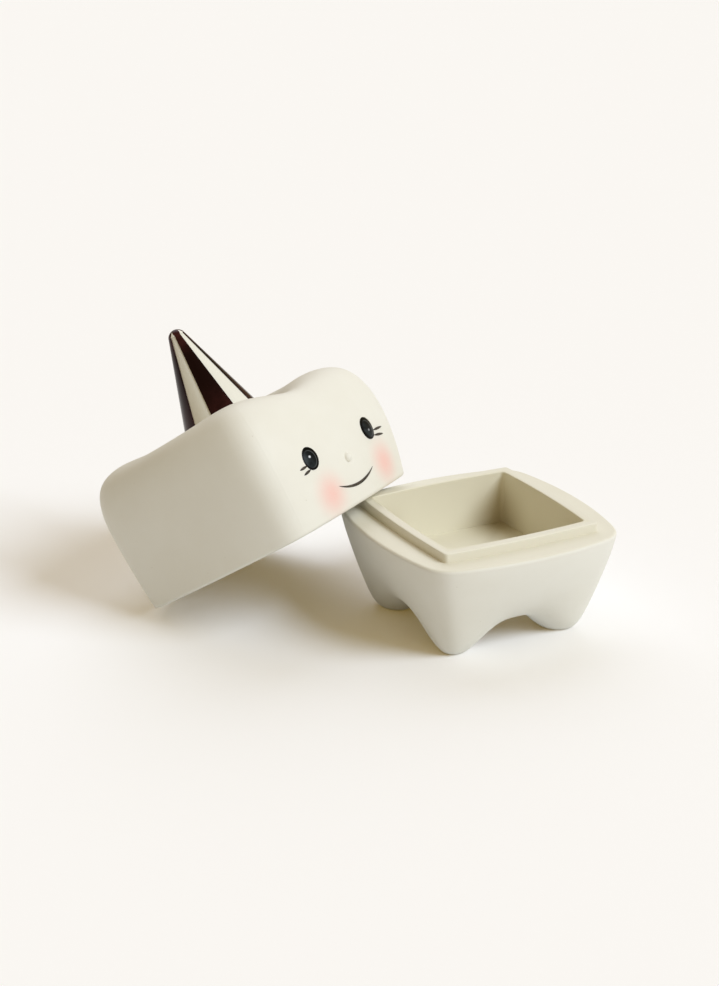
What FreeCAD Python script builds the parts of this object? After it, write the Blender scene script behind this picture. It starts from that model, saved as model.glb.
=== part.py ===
# Baby tooth box: a keepsake box cast as a molar in two halves. The lower half stands on four
# roots and holds a square cavity. The upper half is a loose lid with four soft cusps, a striped
# horn and a small face. The lid lies off the box, leaning on the rim. Millimetres, +Z up.
import FreeCAD
import Part
import math
import os

from FreeCAD import Placement, Rotation, Vector

# Plan of the joint between the two halves: a square with bowed sides and rounded corners
mouth_half_width = 35.0
side_bow_radius = 110.0
corner_radius = 9.0
plan_points = 96
skin_degree = 3

# Lower half
base_height = 30.7
flange_inset = 0.6
flange_width = 8.3
base_edge_radius = 0.8
root_sharpness = 1.6
vault_height = 10.2
vault_radius = 7.0
base_floor = 6.9
spigot_corner_inset = 0.9
spigot_corner_radius = 1.2
spigot_height = 2.8
spigot_wall = 2.9
edge_break = 0.4

# Upper half
crown_height = 41.2
crown_tilt_share = 0.05
crown_edge_radius = 1.0
lid_clearance = 1.4
lid_roof = 4.9
horn_seat_drop = 5.4
horn_seat_margin = 0.6

# Horn: a cone with a round tip, five dark strips let into it and a round tenon below
horn_length = 33.7
horn_base_radius = 13.2
horn_tip_radius = 2.75
horn_forward = 2.0
horn_strips = 5
horn_strip_angle = 39.0
horn_turn = -6.0
strip_proud = 0.25
strip_depth = 0.5
tenon_radius = 5.0
tenon_length = 5.0
tenon_clearance = 0.1

# Face: inlaid enamel eyes, lashes and smile, and a small bead for a nose
face_aside = 0.1
eye_spread_share = 0.44
eye_aside = -0.6
left_eye_height = 18.3
right_eye_height = 17.7
eye_half_width = 3.0
eye_half_height = 3.45
eye_dome = 0.55
eye_depth = 0.6
left_lash_length = 3.3
right_lash_length = 5.4
lash_width = 0.68
lash_root_shares = ((0.82, -0.42), (0.58, -0.82))
lash_droop_angles = (3.0, 10.0)
smile_half_width = 9.3
smile_corner_height = 7.3
smile_low_height = 5.15
smile_width = 0.8
nose_height = 13.2
nose_radius = 1.25
nose_sink = 0.5
nose_clearance = 0.06
enamel_proud = 0.12
enamel_depth = 0.5

# Where the lid lies: its turn, how far right of the lid's middle the spigot's back left corner
# meets it, how far that corner reaches under the recess, and the gap left over the spigot
lid_turn = 31.0
lid_aside = 11.36
lid_hook = 2.93
rest_gap = 0.4

# Skins, as (reach, height) from the mouth to the far end, along a corner, along the middle of the
# front and along the middle of a flank. The back is like the front, but the lid's front corners
# swell into cheeks. Reach is a share of the plan's radius and height a share of the half's height.
base_corner_shares = (
    (1.0, 1.0), (0.985, 0.88), (0.938, 0.68), (0.875, 0.44), (0.805, 0.2), (0.745, 0.03),
    (0.66, -0.045), (0.56, -0.055), (0.46, 0.01), (0.36, 0.16), (0.27, 0.3),
)
base_side_shares = (
    (1.0, 1.0), (0.987, 0.9), (0.94, 0.74), (0.872, 0.55), (0.79, 0.395), (0.71, 0.3),
    (0.63, 0.255), (0.55, 0.25), (0.46, 0.265), (0.37, 0.3), (0.28, 0.325),
)
crown_corner_shares = (
    (1.0, 0.0), (1.01, 0.13), (1.02, 0.31), (1.027, 0.53), (1.026, 0.75), (0.965, 0.945),
    (0.83, 1.01), (0.68, 1.015), (0.54, 0.97), (0.43, 0.9), (0.355, 0.872),
)
crown_cheek_shares = (
    (1.0, 0.0), (1.035, 0.13), (1.07, 0.31), (1.09, 0.51), (1.076, 0.735), (0.995, 0.922),
    (0.84, 0.993), (0.68, 1.004), (0.54, 0.985), (0.43, 0.92), (0.355, 0.872),
)
crown_front_shares = (
    (1.0, 0.0), (1.018, 0.13), (1.036, 0.31), (1.05, 0.5), (1.034, 0.7), (0.96, 0.863),
    (0.84, 0.922), (0.7, 0.918), (0.58, 0.893), (0.48, 0.875), (0.41, 0.872),
)
crown_flank_shares = (
    (1.0, 0.0), (1.012, 0.13), (1.024, 0.31), (1.036, 0.52), (1.036, 0.74), (0.98, 0.925),
    (0.85, 0.985), (0.7, 0.985), (0.57, 0.95), (0.46, 0.895), (0.4, 0.872),
)

# Sizes that follow from the ones above
spigot_half_width = mouth_half_width - flange_inset - flange_width
recess_half_width = spigot_half_width + lid_clearance
spigot_top = base_height + spigot_height
horn_seat_height = crown_height - horn_seat_drop
eye_spread = eye_spread_share * mouth_half_width
socket_foot_height = horn_seat_height - tenon_length - tenon_clearance

quarter = math.pi / 2
x_axis = Vector(1, 0, 0)
y_axis = Vector(0, 1, 0)
z_axis = Vector(0, 0, 1)


def plan_radius(angle, half_width):
    """Distance from the axis to the bowed square's edge in one direction."""
    scale = half_width / mouth_half_width
    bow = side_bow_radius * scale
    corner = corner_radius * scale
    behind = bow - half_width
    reach = bow - corner
    centre = (math.sqrt(2 * reach ** 2 - behind ** 2) - behind) / 2
    turn = abs((angle + quarter / 2) % quarter - quarter / 2)
    tangent = math.atan2(bow * centre / reach, bow * (centre + behind) / reach - behind)
    if turn < tangent:
        return math.sqrt(bow ** 2 - (behind * math.sin(turn)) ** 2) - behind * math.cos(turn)
    ahead = centre * (math.cos(turn) + math.sin(turn))
    return ahead + math.sqrt(corner ** 2 - 2 * centre ** 2 + ahead ** 2)


def skin_rows(half_width, height, shares, end_radius, end_centre, tilt_share=0, sharpness=1):
    """Rings of points from the mouth to a flat round end, drifting to the end's middle on the way.

    A tilt lifts the left of the front and lowers its right, most of all at the corners. A sharpness
    over 1 makes the corners' share of the plan narrower.
    """
    angles = [quarter * (1 / 2 + 4 * step / plan_points) for step in range(plan_points)]
    drift = end_centre.y / (1 - end_radius / half_width)
    rows = []
    for profiles in zip(*shares):
        row = []
        for angle in angles:
            lobe = ((1 - math.cos(4 * angle)) / 2) ** sharpness
            ahead = math.sin(angle) ** 2
            cheek = (1 - math.sin(angle) / math.sin(quarter / 2)) / 2
            weights = (lobe * (1 - cheek), lobe * cheek, (1 - lobe) * ahead, (1 - lobe) * (1 - ahead))
            mixed = [sum(w * pair[i] for w, pair in zip(weights, profiles)) for i in (0, 1)]
            reach = plan_radius(angle, half_width) * mixed[0]
            aside = drift * max(0, 1 - mixed[0])
            outward = math.cos(angle) * (reach - end_radius) / (half_width - end_radius)
            rise = height * mixed[1] * (1 - tilt_share * cheek * outward)
            row.append(Vector(reach * math.cos(angle), reach * math.sin(angle) + aside, rise))
        rows.append(row)
    end = [end_centre + Vector(math.cos(angle), math.sin(angle), 0) * end_radius for angle in angles]
    return rows + [end]


def edges_at(shape, height):
    """Edges of a shape that lie flat at one height."""
    near = edge_break / 10
    return [e for e in shape.Edges if abs(e.BoundBox.ZMin - height) < near and e.BoundBox.ZLength < near]


def skin_solid(rows):
    """Solid inside one smooth skin in four panels that runs up the rings, closed flat at both ends."""
    if rows[0][0].z > rows[-1][0].z:
        rows = rows[::-1]
    spans = len(rows) - skin_degree
    poles = [[row[step] for row in rows] for step in range(plan_points)]
    surface = Part.BSplineSurface()
    surface.buildFromPolesMultsKnots(
        poles,
        [1] * (plan_points + 1),
        [skin_degree + 1] + [1] * (spans - 1) + [skin_degree + 1],
        list(range(plan_points + 1)),
        list(range(spans + 1)),
        True,
        False,
        skin_degree,
        skin_degree,
    )
    step = plan_points / 4
    sides = Part.makeCompound([surface.toShape(step * k, step * (k + 1), 0, spans) for k in range(4)])
    ends = []
    for row in (rows[0], rows[-1]):
        rim = Part.__sortEdges__(edges_at(sides, row[0].z))
        ends.append(Part.Face(Part.Wire(rim)))
    skin = Part.makeCompound(sides.Faces + ends)
    skin.sewShape()
    return Part.makeSolid(skin)


def bowed_block(half_width, foot, top):
    """Upright block on a square plan with slightly bowed sides and tight corners."""
    corner = half_width - spigot_corner_inset
    edges = []
    for step in range(4):
        turn = Rotation(z_axis, math.degrees(quarter) * step)
        ends = [turn.multVec(Vector(side * corner, -corner, foot)) for side in (-1, 1)]
        middle = turn.multVec(Vector(0, -half_width, foot))
        edges.append(Part.Arc(ends[0], middle, ends[1]).toShape())
    block = Part.Face(Part.Wire(edges)).extrude(z_axis * (top - foot))
    upright = [e for e in block.Edges if e.BoundBox.ZLength > (top - foot) / 2]
    return block.makeFillet(spigot_corner_radius, upright)


def make_base():
    """Lower half: four roots under a flange, a raised spigot and a square cavity."""
    body = skin_solid(skin_rows(
        mouth_half_width - flange_inset,
        base_height,
        (base_corner_shares, base_corner_shares, base_side_shares, base_side_shares),
        vault_radius,
        Vector(0, 0, vault_height),
        sharpness=root_sharpness,
    ))
    body = body.makeFillet(base_edge_radius, edges_at(body, base_height))
    room = 2 * mouth_half_width
    below = Part.makeBox(room, room, room, Vector(-mouth_half_width, -mouth_half_width, -room))
    body = body.cut(below)
    spigot = bowed_block(spigot_half_width, base_height - spigot_height, spigot_top)
    cavity_half_width = spigot_half_width - spigot_wall
    cavity = bowed_block(cavity_half_width, vault_height + base_floor, spigot_top + spigot_height)
    body = body.fuse(spigot).removeSplitter().cut(cavity)
    return body.makeFillet(edge_break, edges_at(body, spigot_top))


def crown_skin(grow):
    """Outer form of the lid in its own frame, mouth down, grown sideways by a small amount."""
    return skin_solid(skin_rows(
        mouth_half_width + grow,
        crown_height,
        (crown_corner_shares, crown_cheek_shares, crown_front_shares, crown_flank_shares),
        horn_base_radius + horn_seat_margin,
        Vector(0, -horn_forward, horn_seat_height),
        crown_tilt_share,
    ))


def make_lid(pockets, nose):
    """Upper half: hollow crown with a socket for the horn and pockets for the face."""
    body = crown_skin(0)
    body = body.makeFillet(crown_edge_radius, edges_at(body, 0))
    hollow = bowed_block(recess_half_width, -edge_break, socket_foot_height - lid_roof)
    body = body.cut(hollow)
    socket_radius = tenon_radius + tenon_clearance
    socket_foot = Vector(0, -horn_forward, socket_foot_height)
    body = body.cut(Part.makeCylinder(socket_radius, crown_height, socket_foot))
    for pocket in pockets:
        body = body.cut(pocket)
    return body.cut(Part.makeSphere(nose_radius + nose_clearance, nose))


def horn_outline(shrink):
    """Half outline of the horn: up its straight side and over its round tip, then the axis."""
    tip_centre = horn_length - horn_tip_radius
    slant = math.hypot(tip_centre, horn_base_radius)
    lean = math.acos(horn_tip_radius / slant) - math.atan2(tip_centre, horn_base_radius)
    tip_radius = horn_tip_radius - shrink
    across = Vector(math.cos(lean), 0, math.sin(lean))
    top = Vector(0, 0, horn_seat_height + tip_centre)
    foot = Vector(horn_base_radius - shrink / math.cos(lean), 0, horn_seat_height)
    shoulder = top + across * tip_radius
    halfway = (lean + quarter) / 2
    crest = top + Vector(math.cos(halfway), 0, math.sin(halfway)) * tip_radius
    peak = top + z_axis * tip_radius
    middle = Vector(0, 0, horn_seat_height)
    side = Part.makeLine(foot, shoulder)
    tip = Part.Arc(shoulder, crest, peak).toShape()
    axis = Part.makeLine(peak, middle)
    sole = Part.makeLine(middle, foot)
    return Part.Face(Part.Wire([side, tip, axis, sole])), shoulder.z


def make_horn():
    """Core, dark strips and dark tip of the horn, in the lid's frame."""
    outer, shoulder = horn_outline(0)
    core, _ = horn_outline(strip_proud)
    inner, _ = horn_outline(strip_proud + strip_depth)
    full_turn = 4 * math.degrees(quarter)
    core = core.revolve(Vector(), z_axis, full_turn)
    shell = outer.cut(inner)
    room = 2 * horn_length
    low = Part.makeBox(room, room, room, Vector(-horn_length, -horn_length, shoulder - room))
    tip = shell.revolve(Vector(), z_axis, full_turn).cut(low)
    strips = []
    for step in range(horn_strips):
        middle = horn_turn - math.degrees(quarter) + full_turn * (step + 1 / 2) / horn_strips
        strip = shell.revolve(Vector(), z_axis, horn_strip_angle).common(low)
        strip.rotate(Vector(), z_axis, middle - horn_strip_angle / 2)
        strips.append(strip.Solids[0])
    for piece in strips + [tip]:
        core = core.cut(piece)
    tenon_foot = Vector(0, 0, horn_seat_height - tenon_length)
    core = core.fuse(Part.makeCylinder(tenon_radius, tenon_length, tenon_foot)).removeSplitter()
    for piece in [core, tip] + strips:
        piece.translate(Vector(0, -horn_forward, 0))
    return core, strips, tip


def face_depth(across, height):
    """How far in front of the lid's axis its front lies, at a place on the face."""
    probe = Part.makeLine(Vector(across, 0, height), Vector(across, -2 * mouth_half_width, height))
    return -probe.common(crown_skin(0)).BoundBox.YMin


def make_eye(side, height):
    """Domed oval eye let into the face, and the straight-sided pocket that holds it."""
    oval = Part.Ellipse(Vector(0, 0, eye_half_height), Vector(eye_half_width, 0, 0), Vector())
    back = Part.Face(Part.Wire([oval.toShape()]))
    back.translate(y_axis * eye_depth)
    pocket = back.extrude(-y_axis * (eye_depth + 2 * eye_dome))
    dome_radius = (eye_half_height ** 2 + eye_dome ** 2) / (2 * eye_dome)
    eye = pocket.common(Part.makeSphere(dome_radius, y_axis * (dome_radius - eye_dome))).Solids[0]
    across = face_aside + eye_aside + side * eye_spread
    bow_angle = math.degrees(math.asin(across / side_bow_radius))
    for piece in (eye, pocket):
        piece.rotate(Vector(), z_axis, bow_angle)
        piece.translate(Vector(across, -face_depth(across, height), height))
    return eye, pocket


def leaf(start, end, start_bulge, end_bulge):
    """Flat pointed outline between two arcs, in the face's upright plane."""
    middle = (start + end) / 2
    arcs = [Part.Arc(start, middle + bulge, end).toShape() for bulge in (start_bulge, end_bulge)]
    return Part.Face(Part.Wire(arcs))


def make_lash(side, height, step, length):
    """One lash: a thin leaf from the eye's lower outer edge."""
    share = lash_root_shares[step]
    droop = math.radians(lash_droop_angles[step])
    along = Vector(side * math.cos(droop), 0, -math.sin(droop))
    across = Vector(math.sin(droop), 0, side * math.cos(droop)) * (lash_width / 2)
    out = eye_spread + share[0] * eye_half_width
    root = Vector(face_aside + eye_aside + side * out, 0, height + share[1] * eye_half_height)
    return leaf(root, root + along * length, across, -across)


def make_smile():
    """The smile: a crescent between two arcs."""
    ends = [Vector(face_aside + side * smile_half_width, 0, smile_corner_height) for side in (-1, 1)]
    drop = smile_corner_height - smile_low_height
    half = smile_width / 2
    return leaf(ends[0], ends[1], Vector(0, 0, half - drop), Vector(0, 0, -half - drop))


def make_face():
    """Enamel pieces of the face by name and the pockets they lie in, in the lid's frame."""
    proud = crown_skin(enamel_proud)
    sunk = crown_skin(-enamel_depth)
    pieces = {}
    pockets = {}
    outlines = {"smile": make_smile()}
    sides = (
        ("left", -1, left_eye_height, left_lash_length),
        ("right", 1, right_eye_height, right_lash_length),
    )
    for name, side, height, length in sides:
        pieces[name + "_eye"], pockets[name] = make_eye(side, height)
        for step in range(len(lash_root_shares)):
            outlines[name + "_lash_" + str(step + 1)] = make_lash(side, height, step, length)
    for name, outline in outlines.items():
        stroke = outline.extrude(-y_axis * (2 * mouth_half_width)).common(proud).cut(sunk)
        if "lash" in name:
            stroke = stroke.cut(pockets[name.split("_")[0]])
        pieces[name] = stroke.Solids[0]
        pockets[name] = pieces[name]
    return pieces, pockets.values()


def lean_angle():
    """Tilt at which the lid's back edge is on the floor and its recess lies on the spigot."""
    across = mouth_half_width - crown_edge_radius + recess_half_width
    rise = spigot_top + rest_gap - crown_edge_radius
    return math.asin(rise / math.hypot(across, crown_edge_radius)) + math.atan2(crown_edge_radius, across)


# Pieces of the lid in the lid's own frame, mouth down on the plane z = 0
nose_centre = Vector(face_aside, nose_sink - face_depth(face_aside, nose_height), nose_height)
face, face_pockets = make_face()
horn_core, horn_dark, horn_tip = make_horn()
lid_pieces = dict(face)
lid_pieces["lid_crown"] = make_lid(face_pockets, nose_centre)
lid_pieces["nose_bead"] = Part.makeSphere(nose_radius, nose_centre)
lid_pieces["horn_core"] = horn_core
lid_pieces["horn_tip"] = horn_tip
for number, strip in enumerate(horn_dark, 1):
    lid_pieces["horn_strip_" + str(number)] = strip

# The lid leans back on the floor with its front recess over the spigot's back left corner
lid_heading = Rotation(z_axis, lid_turn)
lid_rotation = lid_heading * Rotation(x_axis, -math.degrees(lean_angle()))
spigot_corner = spigot_half_width - spigot_corner_inset
meeting = Vector(lid_aside, lid_hook - recess_half_width * math.cos(lean_angle()), 0)
lid_middle = Vector(-spigot_corner, spigot_corner, 0) - lid_heading.multVec(meeting)
tilted = lid_pieces["lid_crown"].copy()
tilted.Placement = Placement(Vector(), lid_rotation)
lid_low = tilted.optimalBoundingBox(False, False).ZMin
lid_place = Placement(lid_middle - z_axis * lid_low, lid_rotation)
for piece in lid_pieces.values():
    piece.Placement = lid_place * piece.Placement
pieces = dict(lid_pieces)
pieces["base_box"] = make_base()

# The origin is on the floor, in the middle of the ground that the whole part covers
ground = Part.makeCompound([pieces["base_box"], pieces["lid_crown"]]).optimalBoundingBox(False, False)
to_origin = Vector(-ground.Center.x, -ground.Center.y, 0)
os.makedirs("parts", exist_ok=True)
for name, piece in pieces.items():
    piece.translate(to_origin)
    piece.exportStep("parts/" + name + ".step")
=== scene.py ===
import math

import bpy
from mathutils import Matrix, Vector


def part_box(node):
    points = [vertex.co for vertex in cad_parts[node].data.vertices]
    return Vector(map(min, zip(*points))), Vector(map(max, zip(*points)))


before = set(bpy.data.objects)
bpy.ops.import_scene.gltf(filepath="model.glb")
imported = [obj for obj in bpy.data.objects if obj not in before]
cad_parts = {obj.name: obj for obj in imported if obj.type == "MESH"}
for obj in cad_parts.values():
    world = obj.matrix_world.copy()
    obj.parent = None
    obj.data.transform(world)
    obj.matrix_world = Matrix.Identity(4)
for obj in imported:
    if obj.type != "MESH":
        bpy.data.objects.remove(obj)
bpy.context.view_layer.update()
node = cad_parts

# Lower half of the molar: one thick casting of cream clay, fired and left unglazed.
# The outside is rubbed smooth, while the cavity keeps the warmer colour of the bare casting because
# nothing reaches into it. The rim gets that warmer colour too, as painted warm shade, and the lower
# corners of the cavity are darkened with painted shade.


class Signal:
    """A socket of a material's tree. Sums and products of signals add the nodes for them."""

    def __init__(self, tree, socket=None):
        self.tree = tree
        self.socket = socket

    def node(self, kind, settings, sockets, output=0):
        """Adds a node, sets it up, then fills or links its sockets, and gives one of its outputs."""
        made = self.tree.nodes.new(kind)
        for name, value in settings.items():
            setattr(made, name, value)
        for name, value in sockets.items():
            if isinstance(value, Signal):
                self.tree.links.new(value.socket, made.inputs[name])
            else:
                made.inputs[name].default_value = value
        return Signal(self.tree, made.outputs[output])

    def math(self, operation, *values):
        return self.node("ShaderNodeMath", {"operation": operation}, dict(enumerate(values)))

    def __add__(self, other):
        return self.math("ADD", self, other)

    def __sub__(self, other):
        return self.math("SUBTRACT", self, other)

    def __rsub__(self, other):
        return self.math("SUBTRACT", other, self)

    def __mul__(self, other):
        return self.math("MULTIPLY", self, other)

    def __truediv__(self, other):
        return self.math("DIVIDE", self, other)

    def __pow__(self, other):
        return self.math("POWER", self, other)

    def __abs__(self):
        return self.math("ABSOLUTE", self)

    __radd__ = __add__
    __rmul__ = __mul__

    def larger(self, other):
        return self.math("MAXIMUM", self, other)

    def smaller(self, other):
        return self.math("MINIMUM", self, other)

    def fade(self, start, end):
        """Goes smoothly from 0 at start to 1 at end."""
        settings = {"interpolation_type": "SMOOTHSTEP"}
        return self.node("ShaderNodeMapRange", settings, {"Value": self, "From Min": start, "From Max": end})

    def along(self, origin, axis):
        """How far a place lies from an origin along an axis."""
        shift = self.node("ShaderNodeVectorMath", {"operation": "SUBTRACT"}, {0: self, 1: origin})
        return self.node("ShaderNodeVectorMath", {"operation": "DOT_PRODUCT"}, {0: shift, 1: axis}, "Value")

    def noise(self, scale, detail=3.0, rough=0.5):
        sockets = {"Vector": self, "Scale": scale, "Detail": detail, "Roughness": rough}
        return self.node("ShaderNodeTexNoise", {}, sockets, "Fac")

    def bump(self, height, strength, depth, **below):
        """Surface raised by a height signal, over the surface below where there is one."""
        sockets = {"Height": height, "Strength": strength, "Distance": depth, **below}
        return self.node("ShaderNodeBump", {}, sockets)

    def blend(self, first, second):
        """Mixes two colours, with this signal as the share of the second."""
        settings = {"data_type": "RGBA", "clamp_factor": True}
        return self.node("ShaderNodeMix", settings, {0: self, 6: first, 7: second}, 2)


def new_finish(name, **constants):
    """A material with its shader, its constant values set, and the place on the piece as a signal."""
    material = bpy.data.materials.new(name)
    material.use_nodes = True
    tree = material.node_tree
    shader = tree.nodes["Principled BSDF"]
    for socket, value in constants.items():
        shader.inputs[socket.replace("_", " ")].default_value = value
    place = Signal(tree).node("ShaderNodeTexCoord", {}, {}, "Object")
    return material, shader, place


def connect(shader, **signals):
    for socket, signal in signals.items():
        signal.tree.links.new(signal.socket, shader.inputs[socket.replace("_", " ")])


def wear(name, material):
    node[name].data.materials.clear()
    node[name].data.materials.append(material)


clay_gloss = 0.35
clay_light = (0.785, 0.756, 0.662, 1)
clay_dark = (0.765, 0.733, 0.634, 1)
pinhole_colour = (0.45, 0.38, 0.27, 1)
cloud_scale = 55
grain_scale = 2600
pinhole_scale = 420
patch_scale = 160
grain_depth = 0.0001


def fired_clay(place, light, dark):
    """Colour, roughness and surface of unglazed clay: faint clouds, fine grain and sparse pinholes."""
    cloud = place.noise(cloud_scale, 4, 0.55).fade(0.3, 0.7)
    grain = place.noise(grain_scale, 2, 0.6)
    sockets = {"Vector": place, "Scale": pinhole_scale}
    cells = place.node("ShaderNodeTexVoronoi", {}, sockets, "Distance")
    patch = place.noise(patch_scale, 1).fade(0.58, 0.7)
    pinhole = (1 - cells.fade(0.05, 0.11)) * patch
    colour = cloud.blend(light, dark)
    colour = (pinhole * 0.35).blend(colour, pinhole_colour)
    rough = 0.5 + grain * 0.12 + cloud * 0.06
    return colour, rough, place.bump(grain * 0.6 - pinhole, 0.16, grain_depth)


box_low, box_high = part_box("base_box")
box_middle = (box_low + box_high) / 2
cavity_half = 0.0234
cavity_edge = 0.0008
cavity_foot = 0.0145
cavity_floor = 0.0165
shoulder_foot = 0.0302
shoulder_top = 0.0307
bare_clay_and_warm_shade = (0.745, 0.705, 0.56, 1)
corner_shade_reach = 0.016
corner_shade_foot = 0.02
corner_shade_top = 0.033
corner_shade_colour = (0.4, 0.33, 0.2, 1)

clay, shader, place = new_finish("fired_clay_box", Specular_IOR_Level=clay_gloss)
colour, rough, bump = fired_clay(place, clay_light, clay_dark)
out_x = abs(place.along(box_middle, (1, 0, 0)))
out_y = abs(place.along(box_middle, (0, 1, 0)))
height = place.along((0, 0, 0), (0, 0, 1))
inside = 1 - out_x.larger(out_y).fade(cavity_half, cavity_half + cavity_edge)
inside = inside * height.fade(cavity_foot, cavity_floor)
rim = height.fade(shoulder_foot, shoulder_top)
# The cavity has the bare casting's warmer colour as its own; the rim takes it at a strong share as painted
# warm shade.
colour = inside.larger(rim * 0.65).blend(colour, bare_clay_and_warm_shade)
# Painted shade: the cavity darkens to brown towards its lower corners.
corner_shade = out_x.smaller(out_y).fade(cavity_half - corner_shade_reach, cavity_half)
corner_shade = corner_shade * inside * (1 - height.fade(corner_shade_foot, corner_shade_top))
colour = (corner_shade * 0.75).blend(colour, corner_shade_colour)
connect(shader, Base_Color=colour, Roughness=rough, Normal=bump)
wear("base_box", clay)

# Upper half: a hollow casting of the same clay, loose on the box, with a recess that takes the rim.
# Its face is drawn on the front, with a pink blush brushed on below each eye before the firing.

lid_turn = math.radians(31)
lid_lean = math.radians(33.267916)
lid_axes = Matrix.Rotation(lid_turn, 3, "Z") @ Matrix.Rotation(-lid_lean, 3, "X")
lid_right = lid_axes.col[0]
lid_back = lid_axes.col[1]
lid_up = lid_axes.col[2]
nose_low, nose_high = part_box("nose_bead")
nose_in_lid = Vector((0.0001, -0.0357566, 0.0132))
lid_origin = (nose_low + nose_high) / 2 - lid_axes @ nose_in_lid
face_front = -0.031
face_back = -0.027
blush_places = ((-0.0131, 0.0064), (0.0166, 0.0066))
blush_reach = 0.0098
blush_pink = (0.88, 0.47, 0.4, 1)
powder_scale = 900

clay, shader, place = new_finish("fired_clay_lid", Specular_IOR_Level=clay_gloss)
colour, rough, bump = fired_clay(place, clay_light, clay_dark)
across = place.along(lid_origin, lid_right)
up = place.along(lid_origin, lid_up)
front = 1 - place.along(lid_origin, lid_back).fade(face_front, face_back)
powder = place.noise(powder_scale, 3) * 0.25 + 0.85
for blush_across, blush_up in blush_places:
    apart = ((across - blush_across) ** 2 + (up - blush_up) ** 2) ** 0.5
    blush = (1 - (apart / blush_reach).fade(0, 1)) ** 1.3 * front * powder
    colour = (blush * 0.72).blend(colour, blush_pink)
connect(shader, Base_Color=colour, Roughness=rough, Normal=bump)
wear("lid_crown", clay)

# Nose: a little bead of the same clay as the lid, rolled by hand. It is pressed into a round
# hollow in the face while both are soft, which makes it swell a little.

nose_swell = 0.0003


def weld(name):
    """Joins a piece's faces along their seams, so that it swells and rounds as one skin."""
    seam = node[name].modifiers.new("seam", "WELD")
    seam.merge_threshold = 1e-6


def fatten(name, amount):
    """Swells a piece a little on all sides, as a full brush or a soft lump of clay does."""
    weld(name)
    swell = node[name].modifiers.new("swell", "DISPLACE")
    swell.mid_level = 0
    swell.strength = amount


clay, shader, place = new_finish("fired_clay_nose", Specular_IOR_Level=clay_gloss)
colour, rough, bump = fired_clay(place, clay_light, clay_dark)
connect(shader, Base_Color=colour, Roughness=rough, Normal=bump)
wear("nose_bead", clay)
fatten("nose_bead", nose_swell)

# Horn: a turned cone of pale clay set in a socket in the lid. The panels that show between the
# dark stripes are burnished, with faint turning lines round the cone.

horn_light = (0.78, 0.755, 0.655, 1)
horn_dark = (0.755, 0.727, 0.622, 1)
turning_scale = 9000
turning_depth = 0.00005

clay, shader, place = new_finish("burnished_clay", Specular_IOR_Level=0.45)
colour, rough, bump = fired_clay(place, horn_light, horn_dark)
height = place.along(lid_origin, lid_up)
turning = height.math("SINE", height * turning_scale)
bump = place.bump(turning, 0.05, turning_depth, Normal=bump)
connect(shader, Base_Color=colour, Roughness=rough - 0.14, Normal=bump)
wear("horn_core", clay)

# Dark stripes of the horn: thick glaze the colour of black cherry, poured into shallow channels.
# It is almost black where it is deep and shows red near the point and the foot.

horn_foot = 0.0358
horn_peak = 0.0695
glaze_gloss = 0.18
glaze_sheen = (1, 0.62, 0.6, 1)
glaze_deep = (0.006, 0.0016, 0.0016, 1)
glaze_thin = (0.06, 0.014, 0.012, 1)
pool_scale = 420
ripple_scale = 400
ripple_depth = 0.0002
stripe_edge = 0.00022


def glaze_pool(place):
    """How far the glaze ran together in the kiln, from place to place."""
    return place.noise(pool_scale, 3, 0.6).fade(0.3, 0.75)


glaze, shader, place = new_finish(
    "cherry_glaze", Specular_IOR_Level=glaze_gloss, Specular_Tint=glaze_sheen)
rise = (place.along(lid_origin, lid_up) - horn_foot) / (horn_peak - horn_foot)
thin = (1 - rise.fade(0.05, 0.5)) * 0.6 + rise.fade(0.72, 1)
pool = glaze_pool(place)
colour = (thin * (pool * 0.6 + 0.4)).blend(glaze_deep, glaze_thin)
bump = place.bump(place.noise(ripple_scale, 1), 0.05, ripple_depth)
connect(shader, Base_Color=colour, Roughness=0.1 + pool * 0.08, Normal=bump)
for name in node:
    if name.startswith("horn_strip"):
        wear(name, glaze)
        weld(name)
        edge = node[name].modifiers.new("edge", "BEVEL")
        edge.width = stripe_edge
        edge.segments = 3

# Tip of the horn: a cap of the same glaze, dipped last. The pale panels run up into it as short
# points, brushed over the glaze in the colour of the clay.

tip_foot = 0.0676185
tip_deep = (0.012, 0.003, 0.003, 1)
horn_axis = lid_origin - lid_back * 0.002
panel_turn = math.radians(-96)
panel_step = math.radians(72)
panel_half = math.radians(16.5)
point_length = 0.0016

glaze, shader, place = new_finish(
    "cherry_glaze_tip", Specular_IOR_Level=glaze_gloss, Specular_Tint=glaze_sheen)
back = place.along(horn_axis, lid_back)
turn = back.math("ARCTAN2", back, place.along(horn_axis, lid_right)) - panel_turn
turn = abs(turn.math("WRAP", turn, panel_step / 2, -panel_step / 2))
reached = turn / panel_half + (place.along(lid_origin, lid_up) - tip_foot) / point_length
pool = glaze_pool(place)
colour = pool.blend(tip_deep, glaze_thin)
colour = (1 - reached.fade(0.9, 1.05)).blend(colour, clay_light)
connect(shader, Base_Color=colour, Roughness=0.2 + pool * 0.1)
wear("horn_tip", glaze)

# Eyes: domed drops of black enamel in oval pockets. Each has a slate iris with a fine pale rim,
# lighter towards the lower left as a painted sheen, and one small white dot near the middle,
# thinner and lower on the right eye.

eye_places = {"left_eye": (-0.0159, 0.0183), "right_eye": (0.0149, 0.0177)}
eye_half_width = 0.003
eye_half_height = 0.00345
dot_rise = {"left_eye": 0.14, "right_eye": -0.2}
dot_cover = {"left_eye": 0.75, "right_eye": 0.3}
dot_white = (0.85, 0.87, 0.88, 1)
enamel_black = (0.0015, 0.0015, 0.0015, 1)
slate_dark = (0.0025, 0.0035, 0.004, 1)
slate_painted_sheen = (0.034, 0.042, 0.044, 1)
rim_grey = (0.15, 0.16, 0.16, 1)
painted_sheen_scale = 700

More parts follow.
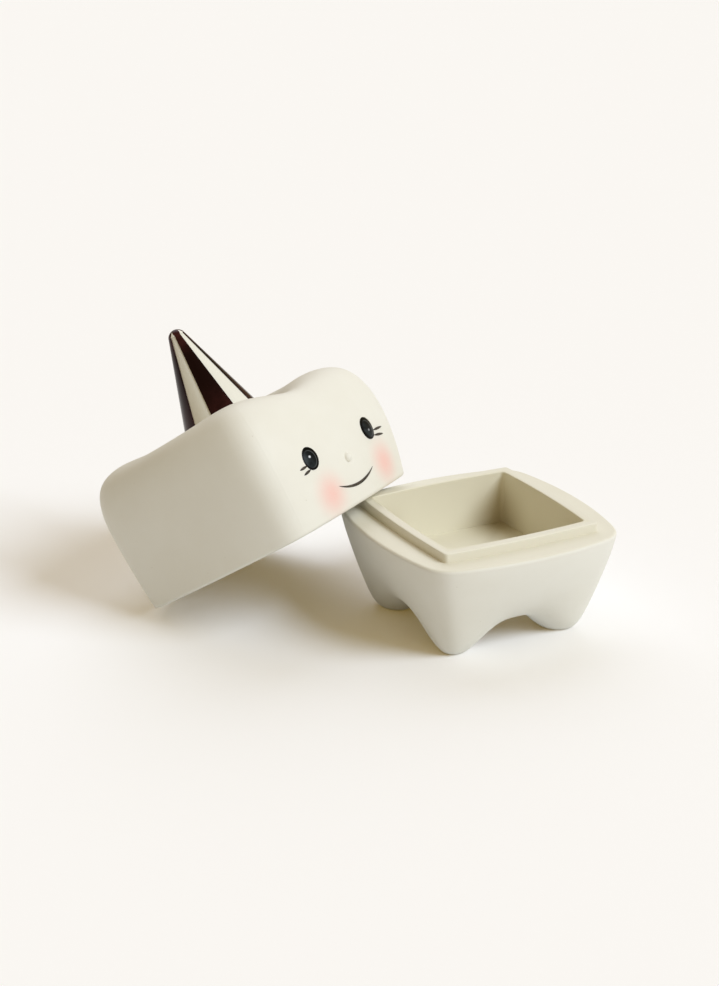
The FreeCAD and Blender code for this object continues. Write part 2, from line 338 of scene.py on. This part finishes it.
for name, (eye_across, eye_height) in eye_places.items():
    enamel, shader, place = new_finish(name + "_enamel", Specular_IOR_Level=0.1)
    across = (place.along(lid_origin, lid_right) - eye_across) / eye_half_width
    up = (place.along(lid_origin, lid_up) - eye_height) / eye_half_height
    iris = (((across + 0.12) / 0.74) ** 2 + ((up + 0.05) / 0.76) ** 2) ** 0.5
    within = 1 - iris.fade(0.92, 1.02)
    rim = iris.fade(0.9, 0.98) * (1 - iris.fade(0.98, 1.06)) * across.fade(-0.6, 0.5)
    # Painted sheen: the slate iris lightens towards the lower left, standing in for a reflection on the
    # dome.
    painted_sheen = (across * -0.7 + up * -0.5).fade(-0.5, 0.8) * place.noise(painted_sheen_scale, 2).fade(0.1, 0.8)
    colour = within.blend(enamel_black, painted_sheen.blend(slate_dark, slate_painted_sheen))
    colour = (rim * 0.7).blend(colour, rim_grey)
    dot = (((across + 0.13) / 0.15) ** 2 + ((up - dot_rise[name]) / 0.115) ** 2) ** 0.5
    dot = (1 - dot.fade(0.45, 1.25)) * dot_cover[name]
    colour = dot.blend(colour, dot_white)
    connect(shader, Base_Color=colour, Roughness=0.3 + painted_sheen * 0.15)
    wear(name, enamel)

# Lashes and smile: single strokes of umber enamel, laid with a fine brush, so they are thin and
# paler where the brush was lifted.

umber_thick = (0.035, 0.027, 0.02, 1)
umber_thin = (0.1, 0.08, 0.06, 1)
brush_scale = 1400
lash_swell = 0.00006
smile_swell = 0.00004

enamel, shader, place = new_finish("umber_enamel", Specular_IOR_Level=0.2)
load = place.noise(brush_scale, 3, 0.6).fade(0.3, 0.75)
connect(shader, Base_Color=load.blend(umber_thick, umber_thin), Roughness=0.4 + load * 0.15)
for name in node:
    if "lash" in name:
        wear(name, enamel)
        fatten(name, lash_swell)
wear("smile", enamel)
fatten("smile", smile_swell)

# Where it lies: a sheet of pale matt paper that shows a little of the room's own glow. The room has
# warm walls, a window at the front right and a skylight behind, and the camera stands where the
# photograph was taken.

paper_white = (0.85, 0.87, 0.9, 1)
paper_glow = (0.092, 0.054, 0, 1)
paper_half = 4.0
paper_top = -0.00005

paper = bpy.data.materials.new("paper")
paper.use_nodes = True
tree = paper.node_tree
tree.nodes.clear()
start = Signal(tree)
matt = start.node("ShaderNodeBsdfDiffuse", {}, {"Color": paper_white})
glow = start.node("ShaderNodeEmission", {}, {"Color": paper_glow})
glowing = start.node("ShaderNodeAddShader", {}, {0: matt, 1: glow})
seen = start.node("ShaderNodeLightPath", {}, {}, "Is Camera Ray")
seen = seen + start.node("ShaderNodeLightPath", {}, {}, "Is Glossy Ray")
seen = seen + start.node("ShaderNodeLightPath", {}, {}, "Is Transmission Ray")
surface = start.node("ShaderNodeMixShader", {}, {0: seen, 1: matt, 2: glowing})
tree.links.new(surface.socket, tree.nodes.new("ShaderNodeOutputMaterial").inputs["Surface"])
sheet = bpy.data.meshes.new("paper")
corners = [(x * paper_half, y * paper_half, paper_top) for x, y in ((-1, -1), (1, -1), (1, 1), (-1, 1))]
sheet.from_pydata(corners, [], [(0, 1, 2, 3)])
sheet.materials.append(paper)
floor = bpy.data.objects.new("paper", sheet)
bpy.context.scene.collection.objects.link(floor)

room = bpy.data.worlds.new("room")
room.use_nodes = True
walls = room.node_tree.nodes["Background"]
walls.inputs["Color"].default_value = (1, 0.792, 0.436, 1)
walls.inputs["Strength"].default_value = 0.36
bpy.context.scene.world = room

view_turn = math.radians(28.2715)
view_drop = math.radians(21.4855)
picture_right = Vector((math.cos(view_turn), -math.sin(view_turn), 0))
picture_back = Vector((math.sin(view_turn), math.cos(view_turn), 0))

# Each lamp's turn from the picture's right, its rise over the floor and its spread, in degrees
lamps = (
    ("window", -28, 40, 32, 2.633, (0.804, 0.884, 1)),
    ("skylight", 100, 45, 60, 1.297, (0.777, 0.843, 1)),
)
for name, turn, rise, spread, energy, tint in lamps:
    lamp = bpy.data.lights.new(name, "SUN")
    lamp.energy = energy
    lamp.color = tint
    lamp.angle = math.radians(spread)
    towards = picture_right * math.cos(math.radians(turn)) + picture_back * math.sin(math.radians(turn))
    towards = towards * math.cos(math.radians(rise)) + Vector((0, 0, math.sin(math.radians(rise))))
    light = bpy.data.objects.new(name, lamp)
    light.rotation_euler = towards.to_track_quat("Z", "Y").to_euler()
    bpy.context.scene.collection.objects.link(light)

lens = bpy.data.cameras.new("camera")
lens.lens = 95.024
camera = bpy.data.objects.new("camera", lens)
camera.location = (-0.330792, -0.625815, 0.312989)
looking = picture_back * math.cos(view_drop) - Vector((0, 0, math.sin(view_drop)))
camera.rotation_euler = looking.to_track_quat("-Z", "Y").to_euler()
bpy.context.scene.collection.objects.link(camera)
bpy.context.scene.camera = camera
bpy.context.scene.view_settings.view_transform = "Standard"
